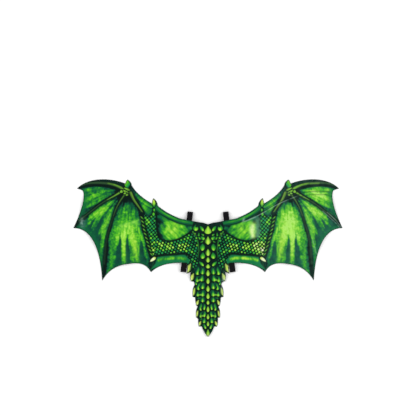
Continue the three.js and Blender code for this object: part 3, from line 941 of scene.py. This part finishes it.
def ribbed_elastic(colour):
    material, tree, shader = new_material("ribbed elastic")
    run = add_node(tree, "ShaderNodeAttribute", attribute_name="run").outputs["Vector"]
    wefts = add_node(tree, "ShaderNodeTexWave", {
        "Vector": run, "Scale": 260.0, "Distortion": 1.2, "Detail": 1.0, "Detail Scale": 3.0,
    }, wave_type="BANDS", bands_direction="Y")
    yarn = scaled_noise(tree, run, 500.0, 0.0, 1.0, 3.0)
    tone = linear(colour)
    mixed = add_node(tree, "ShaderNodeMix", {
        "Factor": yarn, 6: (*(tone * 0.6), 1.0), 7: (*(tone * 1.7), 1.0),
    }, data_type="RGBA")
    tree.links.new(mixed.outputs[2], shader.inputs["Base Color"])
    tree.links.new(scaled_noise(tree, run, 90.0, 0.62, 0.78), shader.inputs["Roughness"])
    woven = add_node(tree, "ShaderNodeBump", {
        "Height": wefts.outputs["Fac"], "Strength": 0.6, "Distance": 0.0003,
    })
    fuzz = add_node(tree, "ShaderNodeBump", {
        "Height": yarn, "Strength": 0.3, "Distance": 0.0002, "Normal": woven.outputs["Normal"],
    })
    tree.links.new(fuzz.outputs["Normal"], shader.inputs["Normal"])
    shader.inputs["Specular IOR Level"].default_value = 0.06
    return material


def packed_surface(name):
    """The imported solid's corners as a merged mesh, and as a tree that rays can be cast on."""
    solid = bmesh.new()
    solid.from_mesh(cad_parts[name].data)
    bmesh.ops.remove_doubles(solid, verts=solid.verts, dist=1e-6)
    solid.normal_update()
    solid.verts.index_update()
    return solid, BVHTree.FromBMesh(solid)


def cut_corners(solid):
    """The corners of the cut's upper edge, once round anticlockwise, without those on straight runs."""
    beside = defaultdict(list)
    for edge in solid.edges:
        if sum(face.normal.z > 0.5 for face in edge.link_faces) == 1:
            a, b = (vert.index for vert in edge.verts)
            beside[a].append(b)
            beside[b].append(a)
    first = next(iter(beside))
    ring = [first, beside[first][0]]
    while ring[-1] != first:
        a, b = beside[ring[-1]]
        ring.append(b if a == ring[-2] else a)
    solid.verts.ensure_lookup_table()
    points = np.array([solid.verts[i].co.xy for i in ring[:-1]])
    x, y = points.T
    if np.sum(x * np.roll(y, -1) - y * np.roll(x, -1)) < 0:
        points = points[::-1]
    return points[np.abs(turns_of(points)) > math.radians(STRAIGHT_TURN)]


def turns_of(ring):
    """The angle that a closed path turns through at each of its points."""
    ahead = np.roll(ring, -1, 0) - ring
    behind = ring - np.roll(ring, 1, 0)
    cross = behind[:, 0] * ahead[:, 1] - behind[:, 1] * ahead[:, 0]
    return np.arctan2(cross, np.sum(ahead * behind, 1))


def cut_edge(ring, step):
    """The edge with its curves rounded between its sharp corners, and a point about every step."""
    sharp = np.flatnonzero(np.abs(turns_of(ring)) > math.radians(SHARP_TURN))
    ring = np.roll(ring, -sharp[0], 0)
    stops = [*(sharp - sharp[0]), len(ring)]
    closed = np.vstack([ring, ring[:1]])
    points = []
    for start, stop in zip(stops, stops[1:]):
        run = curved(closed[start : stop + 1])
        along = np.concatenate([[0], np.cumsum(np.hypot(*np.diff(run, axis=0).T))])
        places = np.linspace(0, along[-1], max(2, round(along[-1] / step) + 1))[:-1]
        points.append(np.column_stack([np.interp(places, along, channel) for channel in run.T]))
    return np.vstack(points)


def outward(edge):
    """The direction out of the cloth at each point of its edge."""
    along = np.roll(edge, -1, 0) - np.roll(edge, 1, 0)
    out = np.column_stack([along[:, 1], -along[:, 0]])
    return out / np.hypot(*out.T)[:, None]


def in_squares(at):
    """Places on the cloth as (out, down) on the print, and the side that each is on."""
    out = np.abs(at[:, 0]) / SQUARE
    down = (CLOTH_HIGH.y - at[:, 1]) / SQUARE
    return np.column_stack([out, down]), np.sign(at[:, 0])


def is_fine(at):
    """Where the print has scales, plates or bones."""
    squares, _ = in_squares(at)
    fine = squares[:, 0] < FINE_MIDDLE
    for area in FINE_AREAS:
        fine |= within(squares, area)
    for path, reach in FINE_PATHS:
        fine |= measure(squares, path)[0] < reach
    return fine


def staggered(step):
    """Points over the whole cloth in staggered rows."""
    rows = np.arange(CLOTH_LOW.y, CLOTH_HIGH.y, step * math.sqrt(3) / 2)
    columns = np.arange(CLOTH_LOW.x, CLOTH_HIGH.x, step)
    x, y = np.meshgrid(columns, rows)
    x[1::2] += step / 2
    return np.column_stack([x.ravel(), y.ravel()])


def inside_edge(at, edge, margin):
    """The points that lie inside the edge by at least a margin."""
    # Every fourth point gives an outline that is close enough, because the margin is tested on all of them.
    at = at[within(at, edge[::4])]
    tree = KDTree(len(edge))
    for i, (x, y) in enumerate(edge):
        tree.insert((x, y, 0), i)
    tree.balance()
    gap = np.array([tree.find((x, y, 0))[2] for x, y in at])
    return at[gap > margin]


def filled(edge, inner):
    """The edge's points, then the inner ones, and the triangles between them."""
    points = np.vstack([edge, inner])
    sides = [(i, (i + 1) % len(edge)) for i in range(len(edge))]
    verts, _, faces, *_ = delaunay_2d_cdt([Vector(p) for p in points], sides, [], 0, 1e-7, False)
    if len(verts) != len(points):
        raise RuntimeError("The cloth's mesh lost a point")
    faces = np.array([tuple(face) for face in faces])
    a, b, c = faces.T
    # Corners that are all on the edge go round it the wrong way in a triangle outside the cloth.
    outside = (faces < len(edge)).all(1) & ((a < b).astype(int) + (b < c) + (c < a) != 2)
    return points, faces[~outside]


class ClothLay:
    """The height of the cloth's face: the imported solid's, smoothed, with ripples and fold ridges on it."""

    def __init__(self, surface, settings):
        self.surface = surface
        self.ripple = settings.ripple
        self.ridge = settings.fold_ridge

    def cast(self, at):
        """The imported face's height at each place, or nan beside the cloth."""
        start = CLOTH_HIGH.z + 0.01
        hits = [self.surface.ray_cast((x, y, start), (0, 0, -1))[0] for x, y in at]
        return np.array([np.nan if hit is None else hit.z for hit in hits])

    def smoothed(self, at):
        """The mean height over a small ring round each place, as far as the ring is on the cloth."""
        ring = [(0.0, 0.0)]
        for radius, count in SMOOTHING_RINGS:
            for turn in np.linspace(0, 2 * math.pi, count, endpoint=False):
                ring.append((radius * math.cos(turn), radius * math.sin(turn)))
        casts = np.array([self.cast(at + offset) for offset in ring])
        held = ~np.isnan(casts)
        heights = np.where(held, casts, 0).sum(0) / np.maximum(held.sum(0), 1)
        for i in np.flatnonzero(~held.any(0)):
            heights[i] = self.surface.find_nearest((*at[i], CLOTH_HIGH.z))[0].z
        return heights

    def relief(self, at):
        """The waves in the cloth and the ridges along its fold marks."""
        squares, side = in_squares(at)
        height = self.ripple * (0.5 + rough(at[:, 0] * WAVES_PER_METRE, at[:, 1] * WAVES_PER_METRE, 3))
        for fold in FOLD_MARKS:
            gap = measure(squares, curved(fold.path))[0] * SQUARE
            height = height + (side == fold.side) * self.ridge * glow(gap / RIDGE_WIDTH)
        return height

    def heights(self, at):
        return self.smoothed(at) + self.relief(at)


def cloth_mesh(name, settings, inks):
    """One closed mesh: the printed face, the plain back and the rounded cut edge between them."""
    solid, surface = packed_surface("wing_and_tail_cloth")
    corners = cut_corners(solid)
    # The face is lowest where the cloth lies on the floor, and there its height is the cloth's thickness.
    thickness = min(vert.co.z for vert in solid.verts if vert.normal.z > 0.5)
    edge = cut_edge(corners, EDGE_STEP)
    solid.free()
    out = outward(edge)
    lay = ClothLay(surface, settings)
    rounding = settings.edge_round
    rim = edge - out * rounding

    fine = staggered(settings.fine_step)
    fine = fine[is_fine(fine)]
    open_skin = staggered(settings.open_step)
    open_skin = open_skin[~is_fine(open_skin)]
    # The inner points keep clear of the rim, so that no thin triangles join them to it.
    inner = np.vstack([
        inside_edge(fine, rim, settings.fine_step * 0.7),
        inside_edge(open_skin, rim, settings.open_step * 0.55),
    ])
    face_points, face_triangles = filled(rim, inner)
    back_inner = inside_edge(staggered(settings.back_step), rim, settings.back_step * 0.5)
    back_points, back_triangles = filled(rim, back_inner)

    face_z = lay.heights(face_points)
    back_z = np.maximum(lay.heights(back_points) - thickness, 0)
    count = len(edge)
    upper = np.column_stack([edge, face_z[:count] - rounding])
    lower = np.column_stack([edge, back_z[:count] + rounding])
    face = np.column_stack([face_points, face_z])
    back = np.column_stack([back_points, back_z])
    verts = np.vstack([face, upper, lower, back])
    first_upper = len(face_points)
    first_lower = first_upper + count
    first_back = first_lower + count
    rings = [first + np.arange(count) for first in (0, first_upper, first_lower, first_back)]
    faces = face_triangles.tolist()
    printed = len(faces)
    for above, below in zip(rings, rings[1:]):
        faces += np.column_stack([above, below, np.roll(below, -1), np.roll(above, -1)]).tolist()
    faces += (back_triangles[:, ::-1] + first_back).tolist()

    mesh = bpy.data.meshes.new(name)
    mesh.from_pydata(verts.tolist(), [], faces)
    mesh.polygons.foreach_set("material_index", [0] * printed + [1] * (len(faces) - printed))
    mesh.shade_smooth()

    squares, side = in_squares(face_points)
    inked = printed_colours(squares, side, half_of(edge), inks)
    colours = np.ones((len(verts), 4))
    colours[:, :3] = linear(inks["black"])
    colours[:first_upper, :3] = linear(np.clip(inked, 0, 1))
    layer = mesh.color_attributes.new("print", "FLOAT_COLOR", "POINT")
    layer.data.foreach_set("color", colours.ravel())
    return mesh, corners


def half_of(edge):
    """The right half of the edge as a path on the print, from the neck to the tail's tip."""
    squares, side = in_squares(edge)
    held = np.flatnonzero(side > 0)
    gap = np.flatnonzero(np.diff(held) > 1)
    if len(gap):
        held = np.concatenate([held[gap[0] + 1 :], held[: gap[0] + 1]])
    return squares[held]


class LayCloth(bpy.types.Operator):
    """Make the printed wings and tail, lying over the arm loops"""

    bl_idname = "dragon_wings.lay_cloth"
    bl_label = "Lay the cloth"

    def execute(self, context):
        settings = context.scene.wing_cloth
        own = context.scene.wing_inks
        inks = {name: np.array(getattr(own, name)) for name in PrintInks.__annotations__}
        mesh, corners = cloth_mesh("printed_wings", settings, inks)
        mesh.materials.append(printed_felt())
        mesh.materials.append(plain_felt(settings.back_colour))
        cloth = bpy.data.objects.new("printed_wings", mesh)
        context.scene.collection.objects.link(cloth)
        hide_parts("wing_and_tail_cloth")
        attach(cloth, "root")
        return {"FINISHED"}


def pick_points(piece, wanted):
    """Opens a piece for editing with only the points that pass a test selected."""
    bpy.ops.object.mode_set(mode="OBJECT")
    mesh = piece.data
    mesh.edges.foreach_set("select", [False] * len(mesh.edges))
    mesh.vertices.foreach_set("select", [bool(wanted(vert.co)) for vert in mesh.vertices])
    bpy.ops.object.mode_set(mode="EDIT")


def elastic_mesh(name, middle, splay, length, height, width, thickness, settings):
    """A flattened ring of ribbed elastic, modelled lying along Y and then splayed."""
    deselect_all()
    rib = settings.rib_height
    radius = height / 2 - rib
    bpy.ops.mesh.primitive_circle_add(
        vertices=LOOP_SIDES,
        radius=radius,
        fill_type="NOTHING",
        location=(-width / 2, 0, height / 2),
        rotation=(0, math.pi / 2, 0),
    )
    loop = bpy.context.object
    loop.name = name
    bpy.ops.object.transform_apply(location=True, rotation=True, scale=True)
    straight = length / 2 - height / 2
    pick_points(loop, lambda co: co.y > 0)
    bpy.ops.transform.translate(value=(0, straight, 0))
    pick_points(loop, lambda co: co.y < 0)
    bpy.ops.transform.translate(value=(0, -straight, 0))
    pick_points(loop, lambda co: abs(co.y) < straight + radius * 0.1)
    bpy.ops.mesh.subdivide(number_cuts=LOOP_CUTS)
    bpy.ops.mesh.select_all(action="SELECT")
    steps = settings.ribs * 2
    for i in range(steps):
        bpy.ops.mesh.extrude_region_move(TRANSFORM_OT_translate={"value": (width / steps, 0, 0)})
        grow = 1 if i % 2 == 0 else -1
        taller = (height / (height - 2 * rib)) ** grow
        longer = (length / (length - 2 * rib)) ** grow
        bpy.ops.transform.resize(value=(1, longer, taller), center_override=(0, 0, height / 2))
    bpy.ops.mesh.select_all(action="SELECT")
    bpy.ops.mesh.normals_make_consistent(inside=False)
    bpy.ops.object.mode_set(mode="OBJECT")
    solidify = loop.modifiers.new("thickness", "SOLIDIFY")
    solidify.thickness = thickness - 2 * rib
    solidify.offset = -1
    bevel = loop.modifiers.new("selvedge", "BEVEL")
    bevel.width = SELVEDGE_ROUND
    bevel.segments = 2
    bevel.limit_method = "ANGLE"
    bevel.angle_limit = math.radians(50)
    for modifier in ("thickness", "selvedge"):
        bpy.ops.object.modifier_apply(modifier=modifier)
    write_run(loop.data, length, height)
    bpy.ops.object.shade_smooth()
    loop.rotation_euler.z = splay
    loop.location = middle
    bpy.ops.object.transform_apply(location=True, rotation=True, scale=True)
    return loop


def write_run(mesh, length, height):
    """Each point's place across the elastic and round it, for the weave."""
    co = np.array([vert.co for vert in mesh.vertices])
    straight = length / 2 - height / 2
    x, y, z = co[:, 0], co[:, 1], co[:, 2] - height / 2
    past = np.clip(np.abs(y) - straight, 0, None)
    bend = np.where(np.abs(y) > straight, np.arctan2(past, np.abs(z)) * height / 2, 0)
    run = np.sign(z) * (np.clip(y, -straight, straight) + np.sign(y) * bend)
    attribute = mesh.attributes.new("run", "FLOAT_VECTOR", "POINT")
    attribute.data.foreach_set("vector", np.column_stack([x, run, np.zeros(len(x))]).ravel())


class SewArmLoops(bpy.types.Operator):
    """Make the two elastic arm loops behind the shoulders"""

    bl_idname = "dragon_wings.sew_arm_loops"
    bl_label = "Sew the arm loops"

    def execute(self, context):
        settings = context.scene.wing_loops
        elastic = ribbed_elastic(settings.elastic_colour)
        for name, node in (("left_elastic", "left_arm_loop"), ("right_elastic", "right_arm_loop")):
            corners = np.array([vert.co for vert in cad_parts[node].data.vertices])
            middle, splay, length, width = footprint(corners)
            height = corners[:, 2].max() - corners[:, 2].min()
            thickness = wall_of(node, middle)
            loop = elastic_mesh(name, (*middle, 0), splay, length, height, width, thickness, settings)
            loop.data.materials.clear()
            loop.data.materials.append(elastic)
            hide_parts(node)
            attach(loop, "root")
        return {"FINISHED"}


def footprint(corners):
    """The middle, turn from Y, length and width of a long box seen from above."""
    flat = corners[:, :2]
    middle = (flat.max(0) + flat.min(0)) / 2
    values, axes = np.linalg.eigh(np.cov((flat - middle).T))
    along = axes[:, 1] * np.sign(axes[1, 1])
    across = np.array([along[1], -along[0]])
    length = np.ptp(flat @ along)
    width = np.ptp(flat @ across)
    return middle, math.atan2(-along[0], along[1]), length, width


def wall_of(node, middle):
    """The thickness of the upper run of a packed loop, at its middle."""
    tree = packed_surface(node)[1]
    top = tree.ray_cast((*middle, 0.1), (0, 0, -1))[0].z
    return top - tree.ray_cast((*middle, top - 1e-4), (0, 0, -1))[0].z


class SetStage(bpy.types.Operator):
    """Set up the pale floor, the lights and the camera straight above"""

    bl_idname = "dragon_wings.set_stage"
    bl_label = "Set the stage"

    def execute(self, context):
        deselect_all()
        bpy.ops.mesh.primitive_plane_add(size=FLOOR_WIDTH, location=(0, 0, 0))
        floor = context.object
        floor.name = "studio_floor"
        material, tree, shader = new_material("pale floor")
        place = add_node(tree, "ShaderNodeTexCoord").outputs["Object"]
        tone = scaled_noise(tree, place, 3.0, 0.955, 0.975)
        grey = add_node(tree, "ShaderNodeCombineColor", {"Red": tone, "Green": tone, "Blue": tone})
        tree.links.new(grey.outputs["Color"], shader.inputs["Base Color"])
        shader.inputs["Roughness"].default_value = 0.9
        shader.inputs["Specular IOR Level"].default_value = 0.1
        floor.data.materials.append(material)
        for lamp in STUDIO_LIGHTS:
            bpy.ops.object.light_add(type="AREA", location=lamp.place)
            light = context.object
            light.data.size = lamp.width
            light.data.energy = lamp.watts
            towards = Vector(lamp.aim) - Vector(lamp.place)
            light.rotation_euler = towards.to_track_quat("-Z", "Y").to_euler()
        world = bpy.data.worlds.new("studio")
        world.use_nodes = True
        world.node_tree.nodes["Background"].inputs["Color"].default_value = (1, 1, 1, 1)
        world.node_tree.nodes["Background"].inputs["Strength"].default_value = DAYLIGHT
        context.scene.world = world
        view_from_above(context.scene)
        context.scene.view_settings.view_transform = "Standard"
        return {"FINISHED"}


def view_from_above(scene):
    """The camera, straight above, with the whole photograph's width of floor in its frame."""
    wide = FRAME_SQUARES * SQUARE
    middle_y = CLOTH_HIGH.y - MIDDLE_DROP * SQUARE
    camera_data = bpy.data.cameras.new("above")
    camera_data.lens = LENS_MM
    camera_data.sensor_width = SENSOR_MM
    camera = bpy.data.objects.new("above", camera_data)
    camera.location = (0, middle_y, wide * LENS_MM / SENSOR_MM)
    scene.collection.objects.link(camera)
    scene.camera = camera


class WingsPanel(bpy.types.Panel):
    """The wings' steps and their settings"""

    bl_label = "Dragon wings"
    bl_idname = "VIEW3D_PT_dragon_wings"
    bl_space_type = "VIEW_3D"
    bl_region_type = "UI"
    bl_category = "Dragon wings"

    def draw(self, context):
        scene = context.scene
        for operator, settings in (
            (LayCloth, (scene.wing_cloth, scene.wing_inks)),
            (SewArmLoops, (scene.wing_loops,)),
            (SetStage, ()),
        ):
            box = self.layout.box()
            box.operator(operator.bl_idname)
            for group in settings:
                for name in type(group).__annotations__:
                    box.prop(group, name)


CLASSES = (PrintInks, ClothSettings, LoopSettings, LayCloth, SewArmLoops, SetStage, WingsPanel)


def register():
    for cls in CLASSES:
        bpy.utils.register_class(cls)
    bpy.types.Scene.wing_inks = PointerProperty(type=PrintInks)
    bpy.types.Scene.wing_cloth = PointerProperty(type=ClothSettings)
    bpy.types.Scene.wing_loops = PointerProperty(type=LoopSettings)


def unregister():
    for name in ("wing_inks", "wing_cloth", "wing_loops"):
        delattr(bpy.types.Scene, name)
    for cls in reversed(CLASSES):
        bpy.utils.unregister_class(cls)


def main():
    register()
    bpy.ops.dragon_wings.lay_cloth()
    bpy.ops.dragon_wings.sew_arm_loops()
    bpy.ops.dragon_wings.set_stage()
    deselect_all()


if __name__ == "__main__":
    main()
